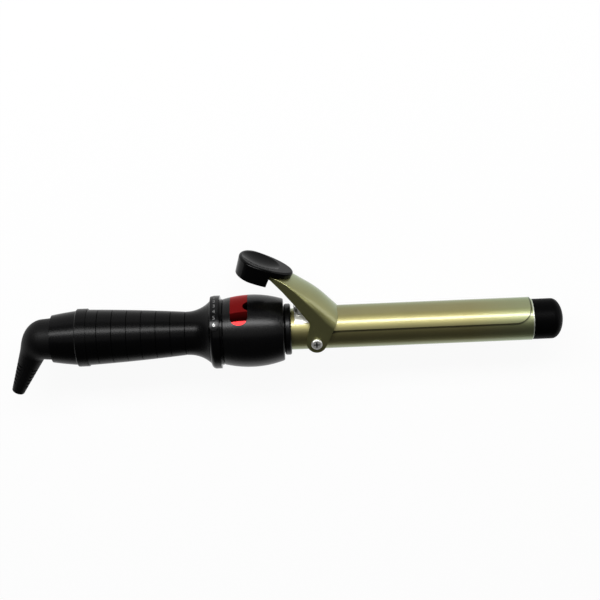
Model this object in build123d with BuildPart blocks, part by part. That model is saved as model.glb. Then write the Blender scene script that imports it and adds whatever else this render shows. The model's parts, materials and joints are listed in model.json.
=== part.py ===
"""Curling iron with a spring clip, a dial ring and a swivel cord boot.

The iron lies on its side: +X runs along the barrel to the tip, +Y points to the
thumb lever and +Z is up. Stations along the tool are measured from a plane just in
front of the collar, where the barrel comes out, and heights from the barrel's axis.
Lengths are in millimetres and angles in degrees.
"""

import os
from math import acos, atan2, cos, degrees, hypot, radians, sin, sqrt, tan

from build123d import *

# Clearances
FIT_GAP = 0.05
RUNNING_GAP = 0.08
FREE_GAP = 0.3
CUT_MARGIN = 1.0

# Barrel and cool tip
BARREL_RADIUS = 12.5
BARREL_WALL = 1.2
BARREL_LENGTH = 144.5
BARREL_ROOT = 12.0
BARREL_RIM = 0.4
CAP_RADIUS = 12.2
CAP_LENGTH = 11.5
CAP_DOME = 7.0
CAP_WALL = 2.0
CAP_PLUG = 8.0

# Heater inside the barrel
HEATER_START = 30.0
HEATER_LENGTH = 90.0
HEATER_WIDTH = 16.0
HEATER_THICKNESS = 3.0
SPREADER_BORE = 2.4
SPREADER_BORE_HEIGHT = 6.0
SENSOR_RADIUS = 1.5
SENSOR_LENGTH = 14.0
LEAD_RADIUS = 1.0
LEAD_SPREAD = 4.5
LEAD_BEND = 2.5
LEAD_FOOT = 8.0
FUSE_RADIUS = 2.0
FUSE_LENGTH = 10.0
FUSE_STATION = 4.0
INSULATOR_THICKNESS = 2.0

# Collar and front housing
COLLAR_SETBACK = 1.1
COLLAR_LIP = 3.0
COLLAR_WIDTH = 4.0
COLLAR_EDGE = 1.2
COLLAR_WALL = 1.35
COLLAR_GAP = 0.3
HOUSING_LENGTH = 36.4
HOUSING_FRONT_RADIUS = 18.6
HOUSING_CROWN_RADIUS = 21.9
HOUSING_REAR_RADIUS = 19.7
HOUSING_CROWN = 19.6
HOUSING_WALL = 2.0
HOUSING_FACE = 2.6
HOUSING_SEAT = 5.8
HOUSING_EDGE = 1.2

# Indicator window
LENS_START = 21.2
LENS_WIDTH = 10.4
LENS_HALF_ANGLE = 55.0
LENS_END_FLAT = 0.6
LED_RADIUS = 2.5
LED_HEIGHT = 5.5
LED_RIM = 0.6

# Inner chassis and control board
JOURNAL_RADIUS = 17.0
JOURNAL_WALL = 1.6
CHASSIS_WALL = 1.5
CHASSIS_FLANGE = 1.5
CHASSIS_SPIGOT = 18.5
RAIL_INSIDE = 12.0
RAIL_WIDTH = 4.0
RAIL_HEIGHT = 3.0
BOARD_HEIGHT = 5.0
BOARD_THICKNESS = 1.6
BOARD_LENGTH = 20.0
BOARD_WIDTH = 31.0
BOARD_START = 30.0
TRIAC_SIZE = (4.5, 10.0, 9.0)
CAPACITOR_RADIUS = 3.2
CAPACITOR_LENGTH = 9.0
BOARD_SCREW_RADIUS = 1.0
BOARD_SCREW_HEAD = 1.9
BOARD_SCREW_HEAD_HEIGHT = 1.2
BOARD_SCREW_LENGTH = 4.0
BOARD_SCREW_INSET = 5.0

# Dial ring
DIAL_RADIUS = 22.1
DIAL_WIDTH = 7.5
DIAL_FLANGE = 0.9
DIAL_FLANGE_DROP = 2.2
DIAL_GROOVE = 0.5
DIAL_GROOVE_DEPTH = 2.9
DIAL_REAR_ROUND = 3.0
DIAL_FRONT_ROUND = 2.6
SCALE_ANGLE = 24.0
SCALE_HALF_ANGLE = 39.0
SCALE_WIDTH = 5.2
SCALE_THICKNESS = 1.8
SCALE_PROUD = 0.1
SCALE_EDGE = 0.3
DIAL_TRAVEL_BACK = 12.0
DIAL_TRAVEL_ON = 60.0
PEG_ANGLE = 225.0
PEG_RADIUS = 1.6
PEG_GRIP = 3.0
PEG_REACH = 3.2
WIPER_THICKNESS = 0.4
WIPER_WIDTH = 2.4
TRACK_THICKNESS = 1.6
TRACK_BORE = 8.2
PEG_SLOT_MARGIN = 8.0

# Grip, band and rear sleeve
GRIP_LENGTH = 73.6
GRIP_FRONT_RADIUS = 18.7
GRIP_NECK_RADIUS = 13.2
GRIP_REAR_RADIUS = 16.8
GRIP_FLARE = 15.6
GRIP_BELLY = 0.35
GRIP_WALL = 2.0
GRIP_SEAT_DEPTH = 0.8
LINE_COUNT = 7
LINE_FIRST = 6.6
LINE_PITCH = 8.73
LINE_DEPTH = 0.35
LINE_WIDTH = 0.45
BAND_WIDTH = 6.6
BAND_RISE = 0.7
BAND_CHAMFER = 0.5
SLEEVE_LENGTH = 15.2
SLEEVE_FRONT_DROP = 0.4
SLEEVE_MID_RADIUS = 15.5
SLEEVE_REAR_RADIUS = 14.3
SLEEVE_WALL = 1.5
SLEEVE_SPIGOT = 11.0
SLEEVE_WEB = 2.6
SLEEVE_RECESS = 2.4

# Swivel and cord boot
STEM_RADIUS = 9.0
STEM_BORE = 3.2
STEM_SHANK = 4.0
STEM_EMBED = 7.0
STEM_NOSE_RADIUS = 6.0
STEM_NOSE = 9.0
CLIP_GROOVE_DEPTH = 1.2
SWIVEL_CLIP_THICKNESS = 1.2
SWIVEL_CLIP_RISE = 2.3
SLIP_RING_WIDTH = 2.2
SLIP_RING_THICKNESS = 0.6
SLIP_RING_PITCH = 4.2
BRUSH_THICKNESS = 0.4
BRUSH_WIDTH = 3.0
BRUSH_BLOCK_THICKNESS = 3.0
BRUSH_BLOCK_GAP = 2.0
BOOT_NECK_RADIUS = 12.65
BOOT_HEAD_RADIUS = 12.2
BOOT_NECK = 5.6
BOOT_CROTCH = 1.0
BOOT_LEG_LENGTH = 28.0
BOOT_LEG_LEAN = 25.0
BOOT_LEG_RADIUS = 7.75
BOOT_TIP_RADIUS = 3.85
BOOT_ELBOW_SECTIONS = 5
BOOT_TIP_EDGE = 0.8
CORD_RADIUS = 2.6
CORD_BORE_DEPTH = 30.0
SLOT_COUNT = 6
SLOT_FIRST = 8.4
SLOT_PITCH = 2.6
SLOT_WIDTH = 1.2
SLOT_WALL = 0.6

# Clip: spoon, lever and pivot
SPOON_SHEET = 0.7
SPOON_TAIL = 22.0
SPOON_END = 143.0
SPOON_EDGE_HEIGHT = 3.3
SPOON_FLARE = 6.5
SPOON_CORNER_LENGTH = 10.0
SPOON_CORNER_HEIGHT = 9.0
LEVER_SHEET = 1.1
LEVER_CROWN_SHEET = 1.4
LEVER_FRONT = 27.0
LEVER_FRONT_DROP = 1.5
LEVER_FRONT_ROUND = 5.0
LEVER_END = -22.5
LEVER_FORM_START = 29.2
LEVER_PITCH = 5.0
LEVER_SHOULDER_RISES = (-12.5, -7.5, -2.6, 3.6, 9.2, 14.6, 19.5)
LEVER_CREST_RISES = (-1.4, 3.8, 9.1, 13.4, 16.8, 19.8)
LEVER_WAIST = (0.0, 0.0, 0.0, 0.0, 0.5, 1.6, 2.6)
LEVER_ARM_COUNT = 5
LEVER_ARM_HALF_WIDTH = 10.2
LEVER_ARM_TAPER = 1.6
LEVER_ARM_CROWN = 1.7
LEVER_UNDERSIDE_RISES = ((1.4, 9.1), (-5.0, 16.4))
LEVER_FLANGE_START = -12.2
LEVER_FLANGE = 3.6
PIVOT_STATION = 13.9
PIVOT_DROP = 3.4
EAR_RADIUS = 6.0
EAR_REAR_ANGLE = 165.0
EAR_ROOT_REAR = 10.4
EAR_ROOT_DROP = 2.8
EAR_FILLET = 4.0
BOSS_RADIUS = 3.6
BOSS_INSIDE = 1.4
SHOULDER_RADIUS = 2.5
PIVOT_SCREW_RADIUS = 1.25
PIVOT_SCREW_LENGTH = 5.0
PIVOT_HEAD_RADIUS = 3.3
PIVOT_HEAD_HEIGHT = 1.5
PIVOT_HEAD_ROUND = 1.0
CROSS_LENGTH = 3.6
CROSS_WIDTH = 0.8
CROSS_DEPTH = 0.8

# Clip spring
SPRING_SHEET = 0.6
SPRING_HALF_WIDTH = 6.5
SPRING_EYE_RADIUS = 2.7
SPRING_EYE_STATION = 3.8
SPRING_LEG_ANGLE = 27.0
SPRING_LEG_LENGTH = 11.0
SPRING_FOOT_START = 1.2
SPRING_FOOT_END = 14.0
SPRING_FOOT_HALF_ANGLE = 50.0
RIVET_STATION = 11.0
RIVET_RADIUS = 1.2
RIVET_HEAD_RADIUS = 2.2
RIVET_HEAD_HEIGHT = 1.0

# Thumb rest
PAD_FRONT = 2.0
PAD_RISE = 25.5
PAD_TILT = 22.0
PAD_FRONT_LENGTH = 23.0
PAD_REAR_LENGTH = 11.2
PAD_HALF_WIDTH = 12.8
PAD_LIP = 3.4
PAD_SKIRT = 11.2
PAD_DRAFT = 1.4
PAD_WALL = 1.8
PAD_NOTCH = 13.9
PAD_EDGE = 1.4
DISH_START = 9.0
DISH_END = 32.4
DISH_DEPTH = 2.5
DISH_HALF_WIDTH = 10.6
PAD_SCREW_INSET = 6.5
PAD_SCREW_RADIUS = 1.1
PAD_SCREW_GRIP = 2.4
PAD_SCREW_HEAD = 2.2
PAD_SCREW_HEAD_HEIGHT = 1.2

# Stations worked out from the sizes, front to rear
collar_front = -COLLAR_SETBACK
collar_rear = collar_front - COLLAR_WIDTH
housing_front = collar_rear - COLLAR_GAP
housing_rear = housing_front - HOUSING_LENGTH
dial_front = housing_rear - FREE_GAP
dial_rear = dial_front - DIAL_WIDTH
grip_front = dial_rear - FREE_GAP
grip_neck = grip_front - GRIP_FLARE
band_front = grip_front - GRIP_LENGTH
band_rear = band_front - BAND_WIDTH
sleeve_rear = band_rear - SLEEVE_LENGTH
boot_head = sleeve_rear - BOOT_NECK
boot_crotch = -BOOT_HEAD_RADIUS - BOOT_CROTCH
leg_side = sin(radians(BOOT_LEG_LEAN))
leg_down = cos(radians(BOOT_LEG_LEAN))
leg_root = boot_head - leg_down * (BOOT_LEG_RADIUS + BOOT_CROTCH)
leg_root_height = boot_crotch + leg_side * (BOOT_LEG_RADIUS + BOOT_CROTCH)
cap_end = BARREL_LENGTH + CAP_LENGTH + CAP_DOME

# Radii and heights that one piece takes from another
barrel_inner = BARREL_RADIUS - BARREL_WALL
spoon_inner = BARREL_RADIUS + FREE_GAP
spoon_outer = spoon_inner + SPOON_SHEET
saddle_inner = spoon_outer + FIT_GAP
saddle_outer = saddle_inner + LEVER_SHEET
collar_bore = BARREL_RADIUS + FIT_GAP
collar_spigot = collar_bore + COLLAR_WALL
spigot_radius = GRIP_NECK_RADIUS - GRIP_WALL - FIT_GAP
pad_height = BARREL_RADIUS + PAD_RISE
pad_slope = tan(radians(PAD_TILT))
pad_run = cos(radians(PAD_TILT))
pad_climb = sin(radians(PAD_TILT))

# The box's middle at the table is the origin, and the tool's own zero lies here from it
tip_low = leg_down * BOOT_LEG_LENGTH + leg_side * BOOT_TIP_RADIUS - leg_root_height
tip_back = leg_root - leg_side * BOOT_LEG_LENGTH - leg_down * BOOT_TIP_RADIUS
pad_top = pad_height + pad_climb * (PAD_FRONT_LENGTH + PAD_REAR_LENGTH)
ZERO = (-(cap_end + tip_back) / 2, -(pad_top - tip_low) / 2, DIAL_RADIUS)
TOOL_AXIS = Axis(ZERO, (1, 0, 0))


def tool_point(station, height, side=0.0):
    """Return the place of a point given by station, height and sideways distance."""
    return (ZERO[0] + station, ZERO[1] + height, ZERO[2] + side)


SIDE = Plane(ZERO, x_dir=(1, 0, 0), z_dir=(0, 0, 1))
FLAT = Plane(ZERO, x_dir=(1, 0, 0), z_dir=(0, 1, 0))


def meridian(angle):
    """Return a plane through the axis, turned from the lever side towards the top."""
    turn = radians(angle)
    return Plane(ZERO, x_dir=(1, 0, 0), z_dir=(0, -sin(turn), cos(turn)))


def across(station):
    """Return the plane square to the axis at a station, with height as its local y."""
    return Plane(tool_point(station, 0), x_dir=(0, 0, -1), z_dir=(1, 0, 0))


def band(start, end, inner, outer):
    """Draw the half section of a ring between two stations and two radii."""
    Polygon((start, inner), (end, inner), (end, outer), (start, outer))


def finish(piece, label):
    """Label a finished piece and write it under its name."""
    piece.part.label = label
    export_step(piece.part, f"parts/{label}.step")


os.makedirs("parts", exist_ok=True)


# Barrel: a tube with holes for the pivot bosses and the spring's rivet
with BuildPart() as barrel_tube:
    with BuildSketch(SIDE):
        band(-BARREL_ROOT, BARREL_LENGTH, barrel_inner, BARREL_RADIUS)
    revolve(axis=TOOL_AXIS)
    rims = barrel_tube.edges().filter_by(GeomType.CIRCLE).group_by(Axis.X)[-1]
    chamfer(rims.sort_by(SortBy.RADIUS)[-1], length=BARREL_RIM)
    with BuildSketch(SIDE):
        with Locations((PIVOT_STATION, -PIVOT_DROP)):
            Circle(BOSS_RADIUS + FIT_GAP)
    extrude(amount=BARREL_RADIUS, both=True, mode=Mode.SUBTRACT)
    with BuildSketch(FLAT):
        with Locations((RIVET_STATION, 0)):
            Circle(RIVET_RADIUS + FIT_GAP)
    extrude(amount=BARREL_RADIUS, mode=Mode.SUBTRACT)
finish(barrel_tube, "barrel_tube")

# Cool tip: a domed cap whose plug sits in the barrel's end
cap_shoulder = BARREL_LENGTH + CAP_LENGTH
plug_radius = barrel_inner - FIT_GAP
with BuildPart() as tip_cap:
    with BuildSketch(SIDE):
        with BuildLine():
            EllipticalCenterArc((cap_shoulder, 0), CAP_DOME, CAP_RADIUS, start_angle=0, arc_size=90)
            Polyline(
                (cap_shoulder, CAP_RADIUS), (BARREL_LENGTH, CAP_RADIUS), (BARREL_LENGTH, 0), (cap_end, 0)
            )
        make_face()
    revolve(axis=TOOL_AXIS)
    with BuildSketch(SIDE):
        band(BARREL_LENGTH - CAP_PLUG, BARREL_LENGTH, 0, plug_radius)
    revolve(axis=TOOL_AXIS)
    with BuildSketch(SIDE):
        band(BARREL_LENGTH - CAP_PLUG, cap_shoulder, 0, plug_radius - CAP_WALL)
    revolve(axis=TOOL_AXIS, mode=Mode.SUBTRACT)
finish(tip_cap, "tip_cap")

# Heating plate between two half-round spreaders
with BuildPart() as heater_plate:
    with BuildSketch(across(HEATER_START)):
        Rectangle(HEATER_WIDTH, HEATER_THICKNESS)
    extrude(amount=HEATER_LENGTH)
finish(heater_plate, "heater_plate")

with BuildPart() as heat_spreaders:
    with BuildSketch(across(HEATER_START)):
        Circle(barrel_inner - FIT_GAP)
        Rectangle(2 * BARREL_RADIUS, HEATER_THICKNESS, mode=Mode.SUBTRACT)
        with Locations((0, SPREADER_BORE_HEIGHT), (0, -SPREADER_BORE_HEIGHT)):
            Circle(SPREADER_BORE, mode=Mode.SUBTRACT)
    extrude(amount=HEATER_LENGTH)
finish(heat_spreaders, "heat_spreaders")

with BuildPart() as temperature_sensor:
    with BuildSketch(across(HEATER_START)):
        with Locations((0, SPREADER_BORE_HEIGHT - SPREADER_BORE + SENSOR_RADIUS + FIT_GAP)):
            Circle(SENSOR_RADIUS)
    extrude(amount=SENSOR_LENGTH)
    fillet(temperature_sensor.faces().sort_by(Axis.X)[-1].edges(), SENSOR_RADIUS / 2)
finish(temperature_sensor, "temperature_sensor")

# Leads from the board to the heating plate, one of them through the thermal fuse
board_rear = housing_front - BOARD_START
board_front = board_rear + BOARD_LENGTH
lead_foot = board_front - LEAD_FOOT
fuse_end = FUSE_STATION + FUSE_LENGTH
with BuildPart() as thermal_fuse:
    with BuildSketch(across(FUSE_STATION)):
        with Locations((LEAD_SPREAD, 0)):
            Circle(FUSE_RADIUS)
    extrude(amount=FUSE_LENGTH)
    chamfer(thermal_fuse.edges().filter_by(GeomType.CIRCLE), FUSE_RADIUS / 4)
finish(thermal_fuse, "thermal_fuse")


def lead_run(points, side):
    """Sweep one insulated lead along points given in the tool's side view."""
    with BuildLine(SIDE.offset(side)) as path:
        FilletPolyline(*points, radius=LEAD_BEND)
    with BuildSketch(Plane(path.line @ 0, z_dir=path.line % 0)) as section:
        Circle(LEAD_RADIUS)
    sweep(section.sketch, path=path.line)


with BuildPart() as heater_leads:
    lead_run(((lead_foot, BOARD_HEIGHT), (lead_foot, 0), (HEATER_START, 0)), LEAD_SPREAD)
    lead_run(((lead_foot, BOARD_HEIGHT), (lead_foot, 0), (FUSE_STATION, 0)), -LEAD_SPREAD)
    with BuildSketch(across(fuse_end)):
        with Locations((LEAD_SPREAD, 0)):
            Circle(LEAD_RADIUS)
    extrude(amount=HEATER_START - fuse_end)
finish(heater_leads, "heater_leads")

# Heat-proof disc behind the barrel, with holes for the leads
with BuildPart() as barrel_insulator:
    with BuildSketch(across(-BARREL_ROOT - INSULATOR_THICKNESS)):
        Circle(collar_spigot)
        with Locations((LEAD_SPREAD, 0), (-LEAD_SPREAD, 0)):
            Circle(LEAD_RADIUS + FREE_GAP, mode=Mode.SUBTRACT)
    extrude(amount=INSULATOR_THICKNESS)
finish(barrel_insulator, "barrel_insulator")

# Collar: ring at the barrel's root, with a spigot into the housing
with BuildPart() as front_collar:
    with BuildSketch(SIDE) as collar_profile:
        band(collar_rear, collar_front, collar_bore, BARREL_RADIUS + COLLAR_LIP)
        outer_corners = collar_profile.vertices().group_by(Axis.Y)[-1]
        fillet(outer_corners, COLLAR_EDGE)
        band(-BARREL_ROOT, collar_rear, collar_bore, collar_spigot)
    revolve(axis=TOOL_AXIS)
finish(front_collar, "front_collar")


# Front housing: an arched shell with a window for the indicator
def housing_arc(inset, start, end):
    """Draw the housing's outline, set in by a depth, between two stations."""
    crown = housing_front - HOUSING_CROWN
    front_run = housing_front - crown
    front_fall = HOUSING_CROWN_RADIUS - HOUSING_FRONT_RADIUS
    front_arc = (front_run**2 + front_fall**2) / (2 * front_fall)
    rear_run = crown - housing_rear
    rear_fall = HOUSING_CROWN_RADIUS - HOUSING_REAR_RADIUS
    rear_arc = (rear_run**2 + rear_fall**2) / (2 * rear_fall)
    top = HOUSING_CROWN_RADIUS - inset
    front_end = top - front_arc + sqrt(front_arc**2 - (end - crown) ** 2)
    rear_end = top - rear_arc + sqrt(rear_arc**2 - (crown - start) ** 2)
    RadiusArc((start, rear_end), (crown, top), rear_arc)
    RadiusArc((crown, top), (end, front_end), front_arc)
    return (start, rear_end), (end, front_end)


def lens_blank(grow):
    """Return the window's rounded outline as a block through the wall, grown by a gap."""
    start = housing_front - LENS_START - LENS_WIDTH - grow
    end = start + LENS_WIDTH + 2 * grow
    half_angle = LENS_HALF_ANGLE + grow
    deep = HOUSING_CROWN_RADIUS - 2 * HOUSING_WALL
    high = HOUSING_CROWN_RADIUS + HOUSING_WALL
    with BuildPart() as blank:
        with BuildSketch(meridian(-half_angle)):
            band(start, end, deep, high)
        revolve(axis=TOOL_AXIS, revolution_arc=2 * half_angle)
        radial = blank.edges().filter_by(GeomType.LINE).filter_by(Axis.X, reverse=True)
        fillet(radial, (LENS_WIDTH - LENS_END_FLAT) / 2 + grow)
    return blank.part


window_cut = lens_blank(FIT_GAP)
window_lens = lens_blank(0)
seat_radius = JOURNAL_RADIUS + FIT_GAP
seat_end = housing_rear + HOUSING_SEAT
face_inside = housing_front - HOUSING_FACE
spigot_hole = collar_spigot + FIT_GAP
with BuildPart() as front_housing:
    with BuildSketch(SIDE) as housing_profile:
        with BuildLine():
            rear_corner, front_corner = housing_arc(0, housing_rear, housing_front)
            inner_rear, inner_front = housing_arc(HOUSING_WALL, seat_end, face_inside)
            Polyline(front_corner, (housing_front, spigot_hole), (face_inside, spigot_hole), inner_front)
            Polyline(inner_rear, (seat_end, seat_radius), (housing_rear, seat_radius), rear_corner)
        make_face()
        fillet(housing_profile.vertices().sort_by_distance(front_corner)[0], HOUSING_EDGE)
        fillet(housing_profile.vertices().sort_by_distance(rear_corner)[0], HOUSING_EDGE / 2)
    revolve(axis=TOOL_AXIS)
    add(window_cut, mode=Mode.SUBTRACT)
finish(front_housing, "front_housing")

with BuildPart() as indicator_lens:
    with BuildSketch(SIDE):
        with BuildLine():
            rear_corner, front_corner = housing_arc(0, housing_rear, housing_front)
            inner_rear, inner_front = housing_arc(HOUSING_WALL, housing_rear, housing_front)
            Line(rear_corner, inner_rear)
            Line(front_corner, inner_front)
        make_face()
    revolve(axis=TOOL_AXIS)
    add(window_lens, mode=Mode.INTERSECT)
finish(indicator_lens, "indicator_lens")

# Inner chassis: spigot for the grip, journal for the dial, rails for the board
journal_bore = JOURNAL_RADIUS - JOURNAL_WALL
flange_front = grip_front + CHASSIS_FLANGE
rail_top = BOARD_HEIGHT
peg_station = dial_rear + DIAL_WIDTH / 2
track_rear = peg_station + PEG_RADIUS + WIPER_THICKNESS + FREE_GAP
with BuildPart() as inner_chassis:
    with BuildSketch(SIDE):
        band(grip_front - CHASSIS_SPIGOT, flange_front, spigot_radius - CHASSIS_WALL, spigot_radius)
        band(grip_front, flange_front, spigot_radius - CHASSIS_WALL, JOURNAL_RADIUS)
        band(grip_front, seat_end, journal_bore, JOURNAL_RADIUS)
    revolve(axis=TOOL_AXIS)
    with BuildSketch(across(housing_rear)):
        with Locations((0, rail_top - RAIL_HEIGHT / 2)):
            Rectangle(2 * (RAIL_INSIDE + RAIL_WIDTH), RAIL_HEIGHT)
            Rectangle(2 * RAIL_INSIDE, RAIL_HEIGHT, mode=Mode.SUBTRACT)
    extrude(amount=board_front - housing_rear)
    slot_from = PEG_ANGLE - DIAL_TRAVEL_ON - PEG_SLOT_MARGIN
    slot_arc = DIAL_TRAVEL_ON + DIAL_TRAVEL_BACK + 2 * PEG_SLOT_MARGIN
    with BuildSketch(meridian(slot_from)):
        half_slot = PEG_RADIUS + FREE_GAP
        band(
            peg_station - half_slot,
            peg_station + half_slot,
            journal_bore - CUT_MARGIN,
            JOURNAL_RADIUS + CUT_MARGIN,
        )
    revolve(axis=TOOL_AXIS, revolution_arc=slot_arc, mode=Mode.SUBTRACT)
    with BuildSketch(FLAT.offset(rail_top)):
        screw_side = RAIL_INSIDE + RAIL_WIDTH / 2
        screw_station = board_front - BOARD_SCREW_INSET
        with Locations((screw_station, screw_side), (screw_station, -screw_side)):
            Circle(BOARD_SCREW_RADIUS + FIT_GAP)
    extrude(amount=-RAIL_HEIGHT, mode=Mode.SUBTRACT)
finish(inner_chassis, "inner_chassis")

# Control board with its switching parts, screwed on the rails
board_top = BOARD_HEIGHT + BOARD_THICKNESS
lens_middle = housing_front - LENS_START - LENS_WIDTH / 2
with BuildPart() as control_board:
    with BuildSketch(FLAT.offset(BOARD_HEIGHT)):
        with Locations(((board_rear + board_front) / 2, 0)):
            Rectangle(BOARD_LENGTH, BOARD_WIDTH)
        with Locations((screw_station, screw_side), (screw_station, -screw_side)):
            Circle(BOARD_SCREW_RADIUS + FIT_GAP, mode=Mode.SUBTRACT)
    extrude(amount=BOARD_THICKNESS)
    triac_station = board_front - TRIAC_SIZE[0]
    with BuildSketch(FLAT.offset(board_top)):
        with Locations((triac_station, 0)):
            Rectangle(TRIAC_SIZE[0], TRIAC_SIZE[1])
    extrude(amount=TRIAC_SIZE[2])
    capacitor_station = triac_station - TRIAC_SIZE[0] - CAPACITOR_RADIUS
    with BuildSketch(FLAT.offset(board_top)):
        with Locations((capacitor_station, TRIAC_SIZE[1] / 2), (capacitor_station, -TRIAC_SIZE[1] / 2)):
            Circle(CAPACITOR_RADIUS)
    extrude(amount=CAPACITOR_LENGTH)
finish(control_board, "control_board")

with BuildPart() as board_screws:
    with BuildSketch(FLAT.offset(board_top)):
        with Locations((screw_station, screw_side), (screw_station, -screw_side)):
            Circle(BOARD_SCREW_HEAD)
    extrude(amount=BOARD_SCREW_HEAD_HEIGHT)
    with BuildSketch(FLAT.offset(board_top)):
        with Locations((screw_station, screw_side), (screw_station, -screw_side)):
            Circle(BOARD_SCREW_RADIUS)
    extrude(amount=-BOARD_SCREW_LENGTH)
finish(board_screws, "board_screws")

with BuildPart() as indicator_led:
    with BuildSketch(FLAT.offset(board_top)):
        with Locations((lens_middle, 0)):
            Circle(LED_RADIUS)
    extrude(amount=LED_HEIGHT)
    fillet(indicator_led.faces().sort_by(Axis.Y)[-1].edges(), LED_RADIUS * 0.9)
    with BuildSketch(FLAT.offset(board_top)):
        with Locations((lens_middle, 0)):
            Circle(LED_RADIUS + LED_RIM)
    extrude(amount=LED_RIM)
finish(indicator_led, "indicator_led")


# Dial ring on the journal, with its scale, peg, wiper and track
def scale_blank(grow, inner, outer):
    """Return the pill-shaped scale between two radii, grown by a gap."""
    half_angle = SCALE_HALF_ANGLE + grow
    half_width = SCALE_WIDTH / 2 + grow
    with BuildPart() as blank:
        with BuildSketch(meridian(SCALE_ANGLE - half_angle)):
            band(scale_middle - half_width, scale_middle + half_width, inner, outer)
        revolve(axis=TOOL_AXIS, revolution_arc=2 * half_angle)
        radial = blank.edges().filter_by(GeomType.LINE).filter_by(Axis.X, reverse=True)
        fillet(radial, half_width - FIT_GAP)
    return blank.part


dial_bore = JOURNAL_RADIUS + RUNNING_GAP
flange_rear = dial_front - DIAL_FLANGE
bead_front = flange_rear - DIAL_GROOVE
scale_middle = (dial_rear + bead_front) / 2 + (DIAL_REAR_ROUND - DIAL_FRONT_ROUND) / 4
scale_floor = DIAL_RADIUS + SCALE_PROUD - SCALE_THICKNESS
scale_pocket = scale_blank(FIT_GAP, scale_floor, DIAL_RADIUS + CUT_MARGIN)
scale_pill = scale_blank(0, scale_floor + FIT_GAP, DIAL_RADIUS + SCALE_PROUD)
peg_plane = Plane(
    tool_point(peg_station, 0),
    x_dir=(1, 0, 0),
    z_dir=(0, cos(radians(PEG_ANGLE)), sin(radians(PEG_ANGLE))),
)
peg_top = dial_bore + PEG_GRIP
peg_bottom = journal_bore - PEG_REACH
with BuildPart() as dial_ring:
    with BuildSketch(SIDE) as bead:
        band(dial_rear, bead_front, dial_bore, DIAL_RADIUS)
        outer_corners = bead.vertices().group_by(Axis.Y)[-1].sort_by(Axis.X)
        fillet(outer_corners[0], DIAL_REAR_ROUND)
        fillet(outer_corners[-1], DIAL_FRONT_ROUND)
    revolve(axis=TOOL_AXIS)
    with BuildSketch(SIDE):
        band(dial_rear + DIAL_WIDTH / 2, flange_rear, dial_bore, DIAL_RADIUS - DIAL_GROOVE_DEPTH)
        band(flange_rear, dial_front, dial_bore, DIAL_RADIUS - DIAL_FLANGE_DROP)
    revolve(axis=TOOL_AXIS)
    add(scale_pocket, mode=Mode.SUBTRACT)
    with BuildSketch(peg_plane):
        Circle(PEG_RADIUS + FIT_GAP)
    extrude(amount=peg_top + FIT_GAP, mode=Mode.SUBTRACT)
finish(dial_ring, "dial_ring")

with BuildPart() as dial_scale:
    add(scale_pill)
    outer_face = dial_scale.faces().filter_by(GeomType.CYLINDER).sort_by(SortBy.AREA)[-1]
    fillet(outer_face.edges(), SCALE_EDGE)
finish(dial_scale, "dial_scale")

with BuildPart() as dial_peg:
    with BuildSketch(peg_plane.offset(peg_bottom)):
        Circle(PEG_RADIUS)
    extrude(amount=peg_top - peg_bottom)
finish(dial_peg, "dial_peg")

with BuildPart() as dial_wiper:
    with BuildSketch(peg_plane.offset(peg_bottom)):
        with Locations((PEG_RADIUS + WIPER_THICKNESS / 2, 0)):
            Rectangle(WIPER_THICKNESS, WIPER_WIDTH)
    extrude(amount=PEG_REACH - FREE_GAP)
    with BuildSketch(peg_plane.offset(peg_bottom - WIPER_THICKNESS)):
        with Locations((WIPER_THICKNESS / 2, 0)):
            Rectangle(2 * PEG_RADIUS + WIPER_THICKNESS, WIPER_WIDTH)
    extrude(amount=WIPER_THICKNESS)
finish(dial_wiper, "dial_wiper")

with BuildPart() as track_board:
    with BuildSketch(SIDE):
        band(track_rear, track_rear + TRACK_THICKNESS, TRACK_BORE, journal_bore - FIT_GAP)
    revolve(axis=TOOL_AXIS)
    with BuildSketch(across(track_rear)):
        with Locations((0, rail_top - RAIL_HEIGHT / 2)):
            Rectangle(4 * JOURNAL_RADIUS, RAIL_HEIGHT + 2 * FIT_GAP)
            Rectangle(2 * RAIL_INSIDE - 2 * FIT_GAP, RAIL_HEIGHT + 4 * FIT_GAP, mode=Mode.SUBTRACT)
    extrude(amount=TRACK_THICKNESS, mode=Mode.SUBTRACT)
finish(track_board, "track_board")

# Grip: tapered and flared, with fine lines round it and a seat for the band
seat_depth_radius = GRIP_REAR_RADIUS - GRIP_SEAT_DEPTH
socket_radius = seat_depth_radius - GRIP_WALL
socket_end = band_rear + SLEEVE_SPIGOT
spigot_end = grip_front - CHASSIS_SPIGOT
grip_run = grip_neck - band_front
taper = (GRIP_NECK_RADIUS - GRIP_REAR_RADIUS) / grip_run
neck_taper = taper - 4 * GRIP_BELLY / grip_run


def grip_surface(station):
    """Return the grip's radius behind the neck, with its slight belly."""
    share = (station - band_front) / grip_run
    return GRIP_REAR_RADIUS + taper * (station - band_front) + 4 * GRIP_BELLY * share * (1 - share)


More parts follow.
